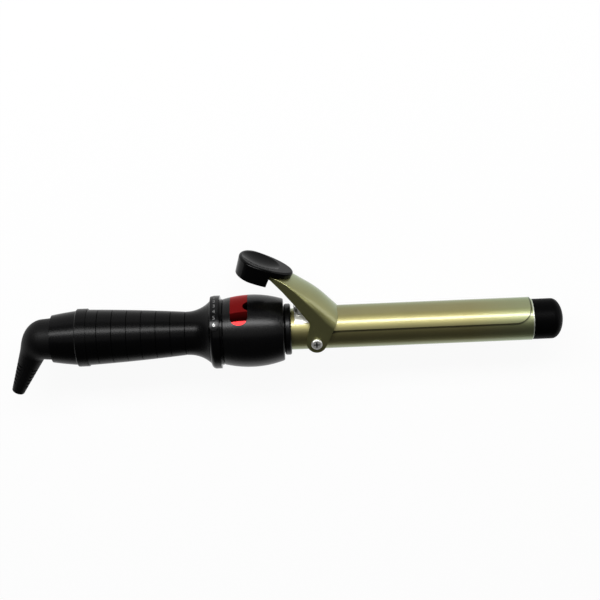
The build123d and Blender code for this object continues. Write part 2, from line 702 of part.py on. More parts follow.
with BuildPart() as grip:
    with BuildSketch(SIDE):
        with BuildLine():
            Polyline(
                (band_rear, seat_depth_radius),
                (band_front, seat_depth_radius),
                (band_front, GRIP_REAR_RADIUS),
            )
            belly = band_front + grip_run / 2
            ThreePointArc(
                (band_front, GRIP_REAR_RADIUS), (belly, grip_surface(belly)), (grip_neck, GRIP_NECK_RADIUS)
            )
            TangentArc(
                (grip_neck, GRIP_NECK_RADIUS), (grip_front, GRIP_FRONT_RADIUS), tangent=(1, neck_taper)
            )
            Polyline(
                (grip_front, GRIP_FRONT_RADIUS),
                (grip_front, spigot_radius + FIT_GAP),
                (spigot_end, spigot_radius + FIT_GAP),
                (socket_end, socket_radius - GRIP_WALL / 2),
                (socket_end, socket_radius),
                (band_rear, socket_radius),
                (band_rear, seat_depth_radius),
            )
        make_face()
    revolve(axis=TOOL_AXIS)
    with BuildSketch(SIDE):
        for index in range(LINE_COUNT):
            station = band_front + LINE_FIRST + index * LINE_PITCH
            surface = grip_surface(station)
            Polygon(
                (station - LINE_WIDTH / 2, surface),
                (station, surface - LINE_DEPTH),
                (station + LINE_WIDTH / 2, surface),
                (station + LINE_WIDTH, surface + LINE_WIDTH),
                (station - LINE_WIDTH, surface + LINE_WIDTH),
            )
    revolve(axis=TOOL_AXIS, mode=Mode.SUBTRACT)
finish(grip, "grip")

# Band round the joint of grip and sleeve
band_bore = seat_depth_radius + FIT_GAP
band_radius = GRIP_REAR_RADIUS + BAND_RISE
with BuildPart() as rear_band:
    with BuildSketch(SIDE) as band_profile:
        band(band_rear, band_front - FIT_GAP, band_bore, band_radius)
        chamfer(band_profile.vertices().sort_by_distance((band_rear, band_radius))[0], BAND_CHAMFER)
    revolve(axis=TOOL_AXIS)
finish(rear_band, "rear_band")

# Rear sleeve: rounded end of the handle, with the web that holds the swivel
sleeve_spigot = socket_radius - FIT_GAP
sleeve_bore = sleeve_spigot - SLEEVE_WALL
web_rear = sleeve_rear + SLEEVE_RECESS
web_front = web_rear + SLEEVE_WEB
sleeve_front_radius = GRIP_REAR_RADIUS - SLEEVE_FRONT_DROP
with BuildPart() as rear_sleeve:
    with BuildSketch(SIDE):
        with BuildLine():
            ThreePointArc(
                (sleeve_rear, SLEEVE_REAR_RADIUS),
                (sleeve_rear + SLEEVE_LENGTH / 2, SLEEVE_MID_RADIUS),
                (band_rear, sleeve_front_radius),
            )
            Polyline(
                (band_rear, sleeve_front_radius),
                (band_rear, sleeve_spigot),
                (socket_end, sleeve_spigot),
                (socket_end, sleeve_bore),
                (web_front, sleeve_bore),
                (web_front, STEM_RADIUS + RUNNING_GAP),
                (web_rear, STEM_RADIUS + RUNNING_GAP),
                (web_rear, BOOT_NECK_RADIUS + FREE_GAP),
                (sleeve_rear, BOOT_NECK_RADIUS + FREE_GAP),
                (sleeve_rear, SLEEVE_REAR_RADIUS),
            )
        make_face()
    revolve(axis=TOOL_AXIS)
finish(rear_sleeve, "rear_sleeve")

# Swivel: stem in the boot, retaining clip, slip rings, and brushes on a fixed block
stem_rear = web_rear - FREE_GAP - STEM_EMBED
stem_front = web_front + STEM_SHANK
clip_rear = web_front + FREE_GAP
groove_floor = STEM_RADIUS - CLIP_GROOVE_DEPTH
nose_front = stem_front + STEM_NOSE
ring_stations = [stem_front + SLIP_RING_WIDTH + index * SLIP_RING_PITCH for index in range(2)]
ring_outer = STEM_NOSE_RADIUS + SLIP_RING_THICKNESS
block_rear = nose_front + BRUSH_BLOCK_GAP
with BuildPart() as swivel_stem:
    with BuildSketch(SIDE):
        band(stem_rear, stem_front, STEM_BORE, STEM_RADIUS)
        band(stem_front, nose_front, STEM_BORE, STEM_NOSE_RADIUS)
    revolve(axis=TOOL_AXIS)
    with BuildSketch(SIDE):
        band(
            clip_rear,
            clip_rear + SWIVEL_CLIP_THICKNESS + FIT_GAP,
            groove_floor,
            STEM_RADIUS + CUT_MARGIN,
        )
    revolve(axis=TOOL_AXIS, mode=Mode.SUBTRACT)
finish(swivel_stem, "swivel_stem")

with BuildPart() as swivel_clip:
    with BuildSketch(SIDE):
        band(
            clip_rear,
            clip_rear + SWIVEL_CLIP_THICKNESS,
            groove_floor + FIT_GAP,
            STEM_RADIUS + SWIVEL_CLIP_RISE,
        )
    revolve(axis=TOOL_AXIS)
finish(swivel_clip, "swivel_clip")

with BuildPart() as slip_rings:
    with BuildSketch(SIDE):
        for station in ring_stations:
            band(
                station - SLIP_RING_WIDTH / 2,
                station + SLIP_RING_WIDTH / 2,
                STEM_NOSE_RADIUS + FIT_GAP,
                ring_outer,
            )
    revolve(axis=TOOL_AXIS)
finish(slip_rings, "slip_rings")

with BuildPart() as brush_block:
    with BuildSketch(across(block_rear)):
        Circle(sleeve_bore - FIT_GAP)
        with Locations((LEAD_SPREAD, 0), (-LEAD_SPREAD, 0)):
            Circle(LEAD_RADIUS + FIT_GAP, mode=Mode.SUBTRACT)
    extrude(amount=BRUSH_BLOCK_THICKNESS)
finish(brush_block, "brush_block")

brush_height = ring_outer + FREE_GAP
with BuildPart() as contact_brushes:
    for station, side in zip(ring_stations, (1, -1)):
        with BuildSketch(FLAT.offset(side * (brush_height + BRUSH_THICKNESS / 2))):
            reach = block_rear - station + BRUSH_WIDTH / 2
            with Locations((block_rear - reach / 2, 0)):
                Rectangle(reach, BRUSH_WIDTH)
        extrude(amount=BRUSH_THICKNESS / 2, both=True)
finish(contact_brushes, "contact_brushes")

# Leads from the brush block to the board
supply_foot = board_rear + LEAD_FOOT / 2
with BuildPart() as supply_leads:
    for side in (LEAD_SPREAD, -LEAD_SPREAD):
        lead_run(((block_rear, 0), (supply_foot, 0), (supply_foot, BOARD_HEIGHT)), side)
finish(supply_leads, "supply_leads")

# Cord boot: an elbow that turns about its crotch, and a tapered leg with flex slots and the cord's bore
leg_origin = tool_point(leg_root, leg_root_height)
leg_plane = Plane(leg_origin, x_dir=(-leg_side, -leg_down, 0), z_dir=(0, 0, 1))
leg_axis = Axis(leg_origin, (-leg_side, -leg_down, 0))
leg_bend = 90 - BOOT_LEG_LEAN
leg_taper = (BOOT_LEG_RADIUS - BOOT_TIP_RADIUS) / BOOT_LEG_LENGTH
neck_front = web_rear - FREE_GAP


def elbow_section(share):
    """Return the elbow's round section at a share of its bend, from the head to the leg's taper."""
    drop = BOOT_HEAD_RADIUS - BOOT_LEG_RADIUS
    end_slope = leg_taper * (BOOT_LEG_RADIUS + BOOT_CROTCH) * radians(leg_bend) / drop
    radius = BOOT_HEAD_RADIUS - drop * share**2 * ((3 - end_slope) - (2 - end_slope) * share)
    turn = radians(share * leg_bend)
    reach = radius + BOOT_CROTCH
    middle = tool_point(boot_head - reach * sin(turn), boot_crotch + reach * cos(turn))
    with BuildSketch(Plane(middle, x_dir=(0, 0, 1), z_dir=(-cos(turn), -sin(turn), 0))) as section:
        with BuildLine() as ring:
            for start in (0, 120, 240):
                CenterArc((0, 0), radius, start, 120)
        make_face(ring.edges())
    return section.sketch


with BuildPart() as cord_boot:
    with BuildSketch(SIDE):
        Polygon(
            (boot_head, 0),
            (neck_front, 0),
            (neck_front, BOOT_NECK_RADIUS),
            (sleeve_rear, BOOT_NECK_RADIUS),
            (boot_head, BOOT_HEAD_RADIUS),
        )
    revolve(axis=TOOL_AXIS)
    loft([elbow_section(index / (BOOT_ELBOW_SECTIONS - 1)) for index in range(BOOT_ELBOW_SECTIONS)])
    with BuildSketch(leg_plane) as leg_profile:
        Polygon((0, 0), (BOOT_LEG_LENGTH, 0), (BOOT_LEG_LENGTH, BOOT_TIP_RADIUS), (0, BOOT_LEG_RADIUS))
        tip_corner = leg_profile.vertices().sort_by_distance((BOOT_LEG_LENGTH, BOOT_TIP_RADIUS))[0]
        fillet(tip_corner, BOOT_TIP_EDGE)
    revolve(axis=leg_axis)
    with BuildSketch(leg_plane):
        slot_floor = CORD_RADIUS + SLOT_WALL
        slot_depth = BOOT_LEG_RADIUS - slot_floor
        for index in range(SLOT_COUNT):
            for side in (1, -1):
                with Locations((SLOT_FIRST + index * SLOT_PITCH, side * (slot_floor + slot_depth / 2))):
                    Rectangle(SLOT_WIDTH, slot_depth)
    extrude(amount=BOOT_LEG_RADIUS, both=True, mode=Mode.SUBTRACT)
    leg_tip = leg_axis.position + leg_axis.direction * BOOT_LEG_LENGTH
    with BuildSketch(Plane(leg_tip, z_dir=leg_axis.direction)):
        Circle(CORD_RADIUS)
    extrude(amount=-CORD_BORE_DEPTH, mode=Mode.SUBTRACT)
    with BuildSketch(SIDE):
        band(stem_rear - FIT_GAP, neck_front, 0, STEM_RADIUS + FIT_GAP)
    revolve(axis=TOOL_AXIS, mode=Mode.SUBTRACT)
finish(cord_boot, "cord_boot")

# Spoon: curved sheet along the barrel, flared at its tail and with rounded corners at its end
flare_end = SPOON_TAIL + SPOON_FLARE
corner_start = SPOON_END - SPOON_CORNER_LENGTH
corner_top = SPOON_EDGE_HEIGHT + SPOON_CORNER_HEIGHT
with BuildPart() as clip_spoon:
    with BuildSketch(meridian(-90)):
        band(SPOON_TAIL, SPOON_END, spoon_inner, spoon_outer)
    revolve(axis=TOOL_AXIS, revolution_arc=180)
    with BuildSketch(SIDE):
        with BuildLine():
            EllipticalCenterArc((flare_end, 0), SPOON_FLARE, SPOON_EDGE_HEIGHT, start_angle=90, arc_size=90)
            Line((flare_end, SPOON_EDGE_HEIGHT), (corner_start, SPOON_EDGE_HEIGHT))
            EllipticalCenterArc(
                (corner_start, corner_top),
                SPOON_CORNER_LENGTH,
                SPOON_CORNER_HEIGHT,
                start_angle=-90,
                arc_size=90,
            )
            Polyline(
                (SPOON_END, corner_top),
                (SPOON_END + SPOON_FLARE, corner_top),
                (SPOON_END + SPOON_FLARE, -SPOON_EDGE_HEIGHT),
                (SPOON_TAIL, -SPOON_EDGE_HEIGHT),
                (SPOON_TAIL, 0),
            )
        make_face()
    extrude(amount=2 * BARREL_RADIUS, both=True, mode=Mode.SUBTRACT)
finish(clip_spoon, "clip_spoon")


# Lever: a formed sheet, lofted through arched sections and trimmed to its side outline
def rest_underside(station):
    """Return the height of the thumb rest's underside, above the axis, at a station."""
    return pad_height + pad_slope * (PAD_FRONT - station) - PAD_LIP / pad_run - FREE_GAP


def lever_sections():
    """List half width, shoulder height and crest height at even stations, from the front."""
    crests = [BARREL_RADIUS + rise for rise in LEVER_CREST_RISES]
    crests.append(rest_underside(LEVER_FORM_START - len(crests) * LEVER_PITCH))
    sections = []
    for rise, waist, crest in zip(LEVER_SHOULDER_RISES, LEVER_WAIST, crests):
        sections.append((saddle_outer - waist, BARREL_RADIUS + rise, crest))
    for arm in range(LEVER_ARM_COUNT):
        crest = rest_underside(LEVER_FORM_START - len(sections) * LEVER_PITCH)
        sections.append((LEVER_ARM_HALF_WIDTH - arm * LEVER_ARM_TAPER, crest - LEVER_ARM_CROWN, crest))
    return sections


def lever_form(inset, crown_inset, base):
    """Loft the lever's outer form, or its hollow when it is set in."""
    sections = []
    for index, (half_width, shoulder, crest) in enumerate(lever_sections()):
        wide = half_width - inset
        low = shoulder - crown_inset
        with BuildSketch(across(LEVER_FORM_START - index * LEVER_PITCH)) as section:
            with BuildLine():
                EllipticalCenterArc((0, low), wide, crest - shoulder, arc_size=180)
                Polyline((-wide, low), (-wide, base), (wide, base), (wide, low))
            make_face()
        sections.append(section.sketch)
    loft(sections)


ear_base = -PIVOT_DROP - EAR_RADIUS - CUT_MARGIN
with BuildPart() as lever_hollow:
    lever_form(LEVER_SHEET, LEVER_CROWN_SHEET, ear_base - CUT_MARGIN)

front_corner = (LEVER_FRONT, BARREL_RADIUS - LEVER_FRONT_DROP)
ear_root = (EAR_ROOT_REAR, BARREL_RADIUS - EAR_ROOT_DROP)
pivot_centre = (PIVOT_STATION, -PIVOT_DROP)
front_run = LEVER_FRONT - PIVOT_STATION
front_rise = front_corner[1] + PIVOT_DROP
ear_front_angle = degrees(atan2(front_rise, front_run) - acos(EAR_RADIUS / hypot(front_run, front_rise)))
with BuildPart() as lever_outline:
    with BuildSketch(SIDE) as outline:
        ear_ends = [
            (
                PIVOT_STATION + EAR_RADIUS * cos(radians(angle)),
                -PIVOT_DROP + EAR_RADIUS * sin(radians(angle)),
            )
            for angle in (ear_front_angle, EAR_REAR_ANGLE)
        ]
        Polygon(
            (LEVER_FRONT, 2 * pad_height),
            front_corner,
            ear_ends[0],
            pivot_centre,
            ear_ends[1],
            ear_root,
            *[(station, BARREL_RADIUS + rise) for station, rise in LEVER_UNDERSIDE_RISES],
            (LEVER_FLANGE_START, rest_underside(LEVER_FLANGE_START) - LEVER_FLANGE),
            (LEVER_END, rest_underside(LEVER_END) - LEVER_FLANGE),
            (LEVER_END, 2 * pad_height),
        )
        with Locations(pivot_centre):
            Circle(EAR_RADIUS)
        fillet(outline.vertices().sort_by_distance(front_corner)[0], LEVER_FRONT_ROUND)
        fillet(outline.vertices().sort_by_distance(ear_root)[0], EAR_FILLET)
    extrude(amount=saddle_outer, both=True)

pad_plane = Plane(
    tool_point(PAD_FRONT, pad_height),
    x_dir=(pad_run, -pad_climb, 0),
    z_dir=(pad_climb, pad_run, 0),
)
pad_side = Plane(tool_point(PAD_FRONT, pad_height), x_dir=(pad_run, -pad_climb, 0), z_dir=(0, 0, 1))
with BuildPart() as clip_lever:
    lever_form(0, 0, ear_base)
    add(lever_hollow.part, mode=Mode.SUBTRACT)
    add(lever_outline.part, mode=Mode.INTERSECT)
    with BuildSketch(across(SPOON_TAIL - CUT_MARGIN)):
        Circle(saddle_inner)
    extrude(amount=LEVER_FORM_START - SPOON_TAIL + CUT_MARGIN, mode=Mode.SUBTRACT)
    with BuildSketch(SIDE):
        with Locations((PIVOT_STATION, -PIVOT_DROP)):
            Circle(SHOULDER_RADIUS + RUNNING_GAP)
    extrude(amount=2 * saddle_outer, both=True, mode=Mode.SUBTRACT)
    with BuildSketch(pad_plane):
        with Locations((-PAD_SCREW_INSET, 0)):
            Circle(PAD_SCREW_RADIUS + FIT_GAP)
    extrude(amount=-PAD_SKIRT, mode=Mode.SUBTRACT)
finish(clip_lever, "clip_lever")

# Pivot: bosses in the barrel wall, and the screws that keep the ears on them
boss_inside = sqrt(barrel_inner**2 - PIVOT_DROP**2) - BOSS_INSIDE
boss_face = saddle_inner - 2 * FREE_GAP
shoulder_end = saddle_outer + FREE_GAP
with BuildPart() as pivot_bosses:
    for side in (1, -1):
        with BuildSketch(SIDE.offset(side * boss_inside)):
            with Locations((PIVOT_STATION, -PIVOT_DROP)):
                Circle(BOSS_RADIUS)
        extrude(amount=side * (boss_face - boss_inside))
        with BuildSketch(SIDE.offset(side * boss_face)):
            with Locations((PIVOT_STATION, -PIVOT_DROP)):
                Circle(SHOULDER_RADIUS)
        extrude(amount=side * (shoulder_end - boss_face))
        with BuildSketch(SIDE.offset(side * shoulder_end)):
            with Locations((PIVOT_STATION, -PIVOT_DROP)):
                Circle(PIVOT_SCREW_RADIUS + FIT_GAP)
        extrude(amount=-side * PIVOT_SCREW_LENGTH, mode=Mode.SUBTRACT)
finish(pivot_bosses, "pivot_bosses")

with BuildPart() as pivot_screws:
    for side in (1, -1):
        with BuildSketch(SIDE.offset(side * shoulder_end)):
            with Locations((PIVOT_STATION, -PIVOT_DROP)):
                Circle(PIVOT_HEAD_RADIUS)
        extrude(amount=side * PIVOT_HEAD_HEIGHT)
        head_face = pivot_screws.faces().sort_by(Axis.Z)[-1 if side == 1 else 0]
        fillet(head_face.edges(), PIVOT_HEAD_ROUND)
        with BuildSketch(SIDE.offset(side * (shoulder_end + PIVOT_HEAD_HEIGHT))):
            with Locations((PIVOT_STATION, -PIVOT_DROP)):
                Rectangle(CROSS_LENGTH, CROSS_WIDTH)
                Rectangle(CROSS_WIDTH, CROSS_LENGTH)
        extrude(amount=-side * CROSS_DEPTH, mode=Mode.SUBTRACT)
        with BuildSketch(SIDE.offset(side * shoulder_end)):
            with Locations((PIVOT_STATION, -PIVOT_DROP)):
                Circle(PIVOT_SCREW_RADIUS)
        extrude(amount=-side * (PIVOT_SCREW_LENGTH - FREE_GAP))
finish(pivot_screws, "pivot_screws")

# Clip spring: a foot that hugs the barrel, a rolled eye and a leg under the lever
foot_inner = BARREL_RADIUS + FIT_GAP
foot_outer = foot_inner + SPRING_SHEET
eye_height = foot_inner + SPRING_SHEET / 2 + SPRING_EYE_RADIUS
leg_turn = radians(90 + SPRING_LEG_ANGLE)
leg_start = (
    SPRING_EYE_STATION + SPRING_EYE_RADIUS * cos(leg_turn),
    eye_height + SPRING_EYE_RADIUS * sin(leg_turn),
)
leg_end = (
    leg_start[0] + SPRING_LEG_LENGTH * cos(radians(SPRING_LEG_ANGLE)),
    leg_start[1] + SPRING_LEG_LENGTH * sin(radians(SPRING_LEG_ANGLE)),
)
with BuildPart() as clip_spring:
    with BuildLine(SIDE.offset(-SPRING_HALF_WIDTH)) as strip_path:
        foot_line = Line(
            (RIVET_STATION, eye_height - SPRING_EYE_RADIUS),
            (SPRING_EYE_STATION, eye_height - SPRING_EYE_RADIUS),
        )
        ThreePointArc(
            (SPRING_EYE_STATION, eye_height - SPRING_EYE_RADIUS),
            (SPRING_EYE_STATION - SPRING_EYE_RADIUS, eye_height),
            leg_start,
        )
        Line(leg_start, leg_end)
    strip_end = Plane(foot_line @ 0, x_dir=(0, 0, 1), z_dir=foot_line % 0)
    with BuildSketch(strip_end):
        Rectangle(2 * SPRING_HALF_WIDTH, SPRING_SHEET, align=(Align.MIN, Align.CENTER))
    sweep(path=strip_path.line)
    with BuildSketch(meridian(-SPRING_FOOT_HALF_ANGLE)):
        band(SPRING_FOOT_START, SPRING_FOOT_END, foot_inner, foot_outer)
    revolve(axis=TOOL_AXIS, revolution_arc=2 * SPRING_FOOT_HALF_ANGLE)
    with BuildSketch(FLAT):
        with Locations((RIVET_STATION, 0)):
            Circle(RIVET_RADIUS + FIT_GAP)
    extrude(amount=eye_height, mode=Mode.SUBTRACT)
finish(clip_spring, "clip_spring")

with BuildPart() as spring_rivet:
    with BuildSketch(FLAT.offset(foot_outer + FIT_GAP)):
        with Locations((RIVET_STATION, 0)):
            Circle(RIVET_HEAD_RADIUS)
    extrude(amount=RIVET_HEAD_HEIGHT)
    fillet(spring_rivet.faces().sort_by(Axis.Y)[-1].edges(), RIVET_HEAD_HEIGHT / 2)
    with BuildSketch(FLAT.offset(foot_outer + FIT_GAP)):
        with Locations((RIVET_STATION, 0)):
            Circle(RIVET_RADIUS)
    extrude(amount=barrel_inner - FIT_GAP - RIVET_HEAD_HEIGHT - foot_outer)
finish(spring_rivet, "spring_rivet")


# Thumb rest: egg-shaped, dished on top, with a hollow skirt behind a notch
def egg(inset):
    """Draw the rest's outline, set in all round, on the current sketch."""
    half_width = PAD_HALF_WIDTH - inset
    with BuildLine() as outline:
        EllipticalCenterArc((-PAD_FRONT_LENGTH, 0), PAD_FRONT_LENGTH - inset, half_width, -90, arc_size=180)
        EllipticalCenterArc((-PAD_FRONT_LENGTH, 0), PAD_REAR_LENGTH - inset, half_width, 90, arc_size=180)
    make_face(outline.edges())


dish_axis_height = (DISH_HALF_WIDTH**2 - DISH_DEPTH**2) / (2 * DISH_DEPTH)
dish_axis = Axis(pad_side.from_local_coords((0, dish_axis_height, 0)), (pad_run, -pad_climb, 0))
with BuildPart() as thumb_rest:
    with BuildSketch(pad_plane.offset(-PAD_SKIRT)):
        egg(PAD_DRAFT)
    with BuildSketch(pad_plane):
        egg(0)
    loft()
    fillet(thumb_rest.edges().group_by(Axis.Y)[-1], PAD_EDGE)
    with BuildSketch(pad_side):
        Polygon(
            (CUT_MARGIN, -PAD_LIP),
            (-PAD_NOTCH, -PAD_LIP),
            (-PAD_NOTCH, -2 * PAD_SKIRT),
            (CUT_MARGIN, -2 * PAD_SKIRT),
        )
    extrude(amount=2 * PAD_HALF_WIDTH, both=True, mode=Mode.SUBTRACT)
    with BuildSketch(pad_plane.offset(-PAD_LIP)):
        egg(PAD_DRAFT + PAD_WALL)
    extrude(amount=-2 * PAD_SKIRT, mode=Mode.SUBTRACT)
    with BuildSketch(pad_side):
        with BuildLine():
            ThreePointArc((-DISH_END, 0), (-(DISH_START + DISH_END) / 2, -DISH_DEPTH), (-DISH_START, 0))
            Polyline(
                (-DISH_START, 0), (-DISH_START, dish_axis_height), (-DISH_END, dish_axis_height), (-DISH_END, 0)
            )
        make_face()
    revolve(axis=dish_axis, mode=Mode.SUBTRACT)
    with BuildSketch(pad_plane.offset(-PAD_LIP)):
        with Locations((-PAD_SCREW_INSET, 0)):
            Circle(PAD_SCREW_RADIUS + FIT_GAP)
    extrude(amount=PAD_SCREW_GRIP, mode=Mode.SUBTRACT)
finish(thumb_rest, "thumb_rest")

# Screw that holds the rest on the lever from below
screw_seat = -PAD_LIP - (FREE_GAP + LEVER_CROWN_SHEET) * pad_run - FIT_GAP
with BuildPart() as thumb_rest_screw:
    with BuildSketch(pad_plane.offset(screw_seat)):
        with Locations((-PAD_SCREW_INSET, 0)):
            Circle(PAD_SCREW_HEAD)
    extrude(amount=-PAD_SCREW_HEAD_HEIGHT)
    with BuildSketch(pad_plane.offset(screw_seat)):
        with Locations((-PAD_SCREW_INSET, 0)):
            Circle(PAD_SCREW_RADIUS)
    extrude(amount=PAD_SCREW_GRIP - FIT_GAP - PAD_LIP - screw_seat)
finish(thumb_rest_screw, "thumb_rest_screw")
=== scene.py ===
"""Looks of the curling iron: its finishes, printed dial numbers, clip spring and studio.

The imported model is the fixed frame. Stations along the tool are measured forwards from a
plane just in front of the collar, and heights and sides from the barrel's axis. Lengths in
the sizes below are in metres and angles in degrees.
"""

from __future__ import annotations

import json
import logging
import math
from dataclasses import dataclass, field
from enum import Enum
from functools import lru_cache

import bpy
from mathutils import Matrix, Vector

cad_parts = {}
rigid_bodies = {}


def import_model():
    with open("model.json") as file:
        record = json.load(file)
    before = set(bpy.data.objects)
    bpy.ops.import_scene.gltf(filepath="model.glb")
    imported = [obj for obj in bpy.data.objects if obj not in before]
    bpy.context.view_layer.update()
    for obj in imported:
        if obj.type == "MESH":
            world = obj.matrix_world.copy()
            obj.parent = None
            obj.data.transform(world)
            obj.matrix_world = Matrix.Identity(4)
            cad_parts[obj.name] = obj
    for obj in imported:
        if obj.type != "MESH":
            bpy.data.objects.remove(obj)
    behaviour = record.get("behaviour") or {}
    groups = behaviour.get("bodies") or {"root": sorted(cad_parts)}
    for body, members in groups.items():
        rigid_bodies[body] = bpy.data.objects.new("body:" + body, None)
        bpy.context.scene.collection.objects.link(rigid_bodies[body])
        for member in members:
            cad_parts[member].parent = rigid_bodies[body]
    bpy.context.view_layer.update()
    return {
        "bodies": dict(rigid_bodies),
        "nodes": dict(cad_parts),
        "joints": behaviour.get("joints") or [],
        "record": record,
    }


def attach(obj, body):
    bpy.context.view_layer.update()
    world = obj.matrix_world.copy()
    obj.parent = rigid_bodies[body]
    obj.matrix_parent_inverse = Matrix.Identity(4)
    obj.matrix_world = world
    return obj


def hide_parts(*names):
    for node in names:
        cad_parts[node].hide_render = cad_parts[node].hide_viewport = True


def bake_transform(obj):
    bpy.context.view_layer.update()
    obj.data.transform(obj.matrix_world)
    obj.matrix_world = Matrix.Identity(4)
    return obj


LOG = logging.getLogger("curling_iron")
MM = 0.001
IMAGE_SIZE = 600

Triple = tuple[float, float, float]
Colour = Triple
Nodes = dict[str, bpy.types.Object]
Socket = bpy.types.NodeSocket


class Body(Enum):
    """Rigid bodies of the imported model."""

    IRON = "iron"
    CLIP = "clip"
    DIAL = "dial"
    BOOT = "boot"


@dataclass(frozen=True)
class ToolFrame:
    """Place of the tool's own zero point in the row frame."""

    station: float = 5.576 * MM
    height: float = -7.153 * MM
    side: float = 22.1 * MM

    def point(self, station: float, height: float, side: float = 0.0) -> Vector:
        """Place a point given on the tool.

        Args:
            station: distance forwards of the zero plane.
            height: distance from the axis towards the lever.
            side: distance from the axis upwards.

        Returns:
            The point in the row frame.
        """
        return Vector((self.station + station, self.height + height, self.side + side))


TOOL = ToolFrame()


class NodeSheet:
    """A material's node tree with short calls to add and join nodes."""

    def __init__(self, name: str) -> None:
        """Start an empty material with an output.

        Args:
            name: the material's name.
        """
        self.material = bpy.data.materials.new(name)
        self.material.use_nodes = True
        self.tree = self.material.node_tree
        self.tree.nodes.clear()
        self.output = self.tree.nodes.new("ShaderNodeOutputMaterial")

    def add(self, kind: str, **settings: object) -> bpy.types.Node:
        """Add a node and set its own properties.

        Args:
            kind: Blender's name of the node type.
            **settings: properties of the node.

        Returns:
            The new node.
        """
        node = self.tree.nodes.new(kind)
        for key, value in settings.items():
            setattr(node, key, value)
        return node

    def join(self, source: Socket, target: Socket) -> None:
        """Link an output to an input."""
        self.tree.links.new(source, target)

    def object_coordinates(self, stretch: Triple = (1.0, 1.0, 1.0)) -> Socket:
        """Give Object coordinates, stretched along the axes.

        Args:
            stretch: scale along X, Y and Z.

        Returns:
            The vector to feed to a texture.
        """
        coordinates = self.add("ShaderNodeTexCoord")
        mapping = self.add("ShaderNodeMapping")
        mapping.inputs["Scale"].default_value = stretch
        self.join(coordinates.outputs["Object"], mapping.inputs["Vector"])
        return mapping.outputs["Vector"]

    def place_parts(self) -> list[Socket]:
        """Split the Object coordinates.

        Returns:
            Their X, Y and Z.
        """
        split = self.add("ShaderNodeSeparateXYZ")
        self.join(self.object_coordinates(), split.inputs["Vector"])
        return list(split.outputs)

    def sum_up(self, operation: str, first: Socket, second: Socket | float = 0.0) -> Socket:
        """Work out a value from one or two others.

        Args:
            operation: Blender's name of the Math operation.
            first: its first value.
            second: its second value, a number or another node's.

        Returns:
            The result.
        """
        node = self.add("ShaderNodeMath", operation=operation)
        self.join(first, node.inputs[0])
        if isinstance(second, float):
            node.inputs[1].default_value = second
        else:
            self.join(second, node.inputs[1])
        return node.outputs["Value"]

    def reach(self, first: Socket, second: Socket) -> Socket:
        """Measure how far two values reach together, as the sides of a right angle.

        Args:
            first: length of one side.
            second: length of the other.

        Returns:
            The length across.
        """
        joined = self.add("ShaderNodeCombineXYZ")
        self.join(first, joined.inputs["X"])
        self.join(second, joined.inputs["Y"])
        across = self.add("ShaderNodeVectorMath", operation="LENGTH")
        self.join(joined.outputs["Vector"], across.inputs[0])
        return across.outputs["Value"]

    def noise(self, vector: Socket, scale: float, detail: float, rough: float) -> Socket:
        """Add a noise texture.

        Args:
            vector: coordinates to read.
            scale: grains per metre.
            detail: octaves of finer noise.
            rough: weight of the finer octaves.

        Returns:
            The noise value.
        """
        node = self.add("ShaderNodeTexNoise")
        node.inputs["Scale"].default_value = scale
        node.inputs["Detail"].default_value = detail
        node.inputs["Roughness"].default_value = rough
        self.join(vector, node.inputs["Vector"])
        return node.outputs["Fac"]

    def spread(
        self, value: Socket, low: float, high: float, start: float = 0.3, end: float = 0.7
    ) -> Socket:
        """Map a value between two limits.

        Args:
            value: the value to map.
            low: result at the start.
            high: result at the end.
            start: value that gives low.
            end: value that gives high.

        Returns:
            The mapped value.
        """
        node = self.add("ShaderNodeMapRange")
        node.inputs["From Min"].default_value = start
        node.inputs["From Max"].default_value = end
        node.inputs["To Min"].default_value = low
        node.inputs["To Max"].default_value = high
        self.join(value, node.inputs["Value"])
        return node.outputs["Result"]

    def tint(self, value: Socket, dark: Colour, light: Colour) -> Socket:
        """Mix two colours by a value.

        Args:
            value: mixing value from 0 to 1.
            dark: colour at 0.
            light: colour at 1.

        Returns:
            The mixed colour.
        """
        node = self.add("ShaderNodeMix", data_type="RGBA")
        node.inputs["A"].default_value = (*dark, 1.0)
        node.inputs["B"].default_value = (*light, 1.0)
        self.join(value, node.inputs["Factor"])
        return node.outputs["Result"]

    def blend(self, value: Socket, first: Socket, second: Colour) -> Socket:
        """Fade from a pattern to a plain colour.

        Args:
            value: fading value from 0 to 1.
            first: pattern at 0.
            second: colour at 1.

        Returns:
            The faded colour.
        """
        node = self.add("ShaderNodeMix", data_type="RGBA")
        self.join(first, node.inputs["A"])
        node.inputs["B"].default_value = (*second, 1.0)
        self.join(value, node.inputs["Factor"])
        return node.outputs["Result"]

    def bump(self, height: Socket, depth: float, strength: float) -> Socket:
        """Turn a height into a normal.

        Args:
            height: the height pattern.
            depth: its real depth.
            strength: its weight.

        Returns:
            The bent normal.
        """
        node = self.add("ShaderNodeBump")
        node.inputs["Strength"].default_value = strength
        node.inputs["Distance"].default_value = depth
        self.join(height, node.inputs["Height"])
        return node.outputs["Normal"]


def scaled(colour: Colour, factor: float) -> Colour:
    """Return a colour made lighter or darker."""
    return (colour[0] * factor, colour[1] * factor, colour[2] * factor)


